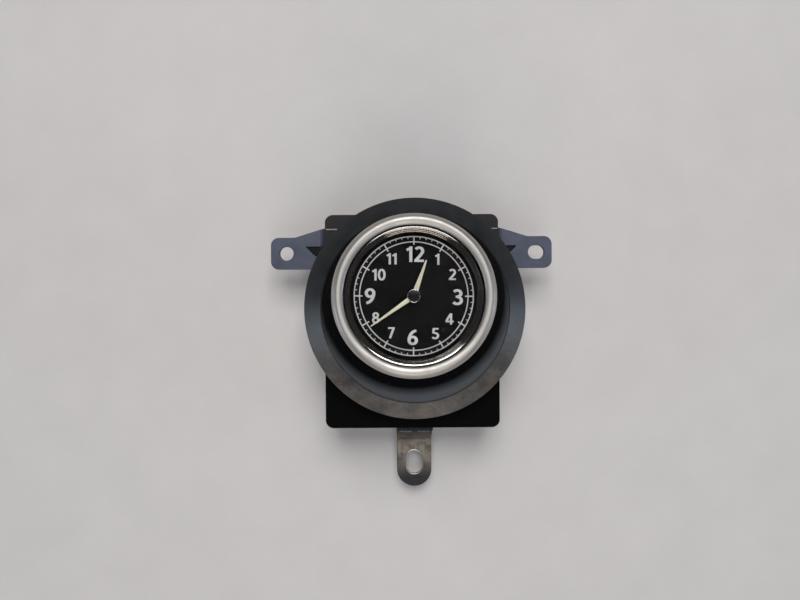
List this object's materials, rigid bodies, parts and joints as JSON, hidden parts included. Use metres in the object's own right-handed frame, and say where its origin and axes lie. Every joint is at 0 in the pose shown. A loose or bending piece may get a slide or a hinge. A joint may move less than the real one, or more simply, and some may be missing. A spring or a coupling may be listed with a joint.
{
  "type": "car dashboard clock",
  "caption": "Round car dashboard clock on a flat rear box, with an off-centre conical shroud, satin bezel, side ears and a lower strap; geared hands turn behind a flat lens.",
  "frame": {"origin": "on the flat rear face, in the middle of the box", "axes": "+Z the way the box faces, +Y toward 12 o'clock, +X toward 3 o'clock"},
  "size_m": [0.1094, 0.1131, 0.066],
  "materials": {
    "satin_metal": "satin",
    "polished_metal": "polished",
    "lens_glass": "clear",
    "seal_rubber": "matt",
    "dial_paint": "matt",
    "clear_plastic": "clear",
    "board_laminate": "lacquered",
    "lamp_plastic": "clear",
    "hand_paint": "satin",
    "cap_black": "gloss",
    "gear_plastic": "moulded",
    "brass": "turned",
    "bright_steel": "turned",
    "magnet": "sintered",
    "soft_iron": "stamped",
    "bobbin_plastic": "moulded",
    "copper": "enamelled wire",
    "pale_plastic": "moulded",
    "ribbon_film": "film",
    "shroud_plastic": "fine grained",
    "case_plastic": "fine grained",
    "chip_plastic": "moulded",
    "can_metal": "drawn",
    "capacitor_sleeve": "sleeved",
    "connector_plastic": "moulded",
    "pin_metal": "plated",
    "ear_coat": "coated",
    "rivet_metal": "zinc",
    "strap_steel": "worn"
  },
  "bodies": {
    "case": {"bezel_ring": "satin_metal", "lens": "lens_glass", "lens_seal": "seal_rubber", "reflector_ring": "polished_metal", "dial_plate": "dial_paint", "light_guide": "clear_plastic", "lamp_board": "board_laminate", "dial_lamps": "lamp_plastic", "main_plate": "brass", "bridge_plate": "brass", "movement_pillars": "bright_steel", "movement_screws": "bright_steel", "stator": "soft_iron", "coil_core": "soft_iron", "coil_bobbin": "bobbin_plastic", "coil_winding": "copper", "stator_screws": "bright_steel", "terminal_block": "pale_plastic", "motor_ribbon": "ribbon_film", "ribbon_socket": "pale_plastic", "shroud": "shroud_plastic", "shroud_screws": "bright_steel", "front_housing": "case_plastic", "cover_gasket": "seal_rubber", "rear_cover": "case_plastic", "cover_screws": "bright_steel", "circuit_board": "board_laminate", "board_screws": "bright_steel", "control_chip": "chip_plastic", "quartz_crystal": "can_metal", "capacitors": "capacitor_sleeve", "connector_shell": "connector_plastic", "connector_pins": "pin_metal", "left_ear": "ear_coat", "right_ear": "ear_coat", "ear_pads": "seal_rubber", "ear_rivets": "rivet_metal", "lower_strap": "strap_steel", "strap_rivets": "rivet_metal"},
    "minute": {"centre_wheel": "brass", "cannon_pinion": "brass", "minute_hand": "hand_paint", "hub_cap": "cap_black"},
    "hour": {"hour_wheel": "gear_plastic", "hour_hand": "hand_paint"},
    "minute_work": {"minute_wheel": "gear_plastic"},
    "third": {"third_wheel": "gear_plastic"},
    "rotor": {"rotor_arbor": "bright_steel", "rotor_magnet": "magnet"}
  },
  "joints": [
    {"name": "minute_spin", "type": "hinge", "parent": "case", "child": "minute", "pos_m": [0, 0.0092, 0.0575], "axis": [0, 0, -1], "continuous": true},
    {"name": "hour_spin", "type": "hinge", "parent": "case", "child": "hour", "pos_m": [0, 0.0092, 0.0575], "axis": [0, 0, -1], "continuous": true},
    {"name": "minute_work_spin", "type": "hinge", "parent": "case", "child": "minute_work", "pos_m": [0.0048, 0.01751, 0.054], "axis": [0, 0, -1], "continuous": true},
    {"name": "third_spin", "type": "hinge", "parent": "case", "child": "third", "pos_m": [-0.00798, 0.00237, 0.0524], "axis": [0, 0, -1], "continuous": true},
    {"name": "rotor_spin", "type": "hinge", "parent": "case", "child": "rotor", "pos_m": [0, -0.0018, 0.0524], "axis": [0, 0, -1], "continuous": true}
  ],
  "couplings": [
    {"joint": "hour_spin", "follows": "minute_spin", "ratio": 0.083333},
    {"joint": "minute_work_spin", "follows": "minute_spin", "ratio": -0.33333},
    {"joint": "third_spin", "follows": "minute_spin", "ratio": -6},
    {"joint": "rotor_spin", "follows": "minute_spin", "ratio": 30}
  ]
}
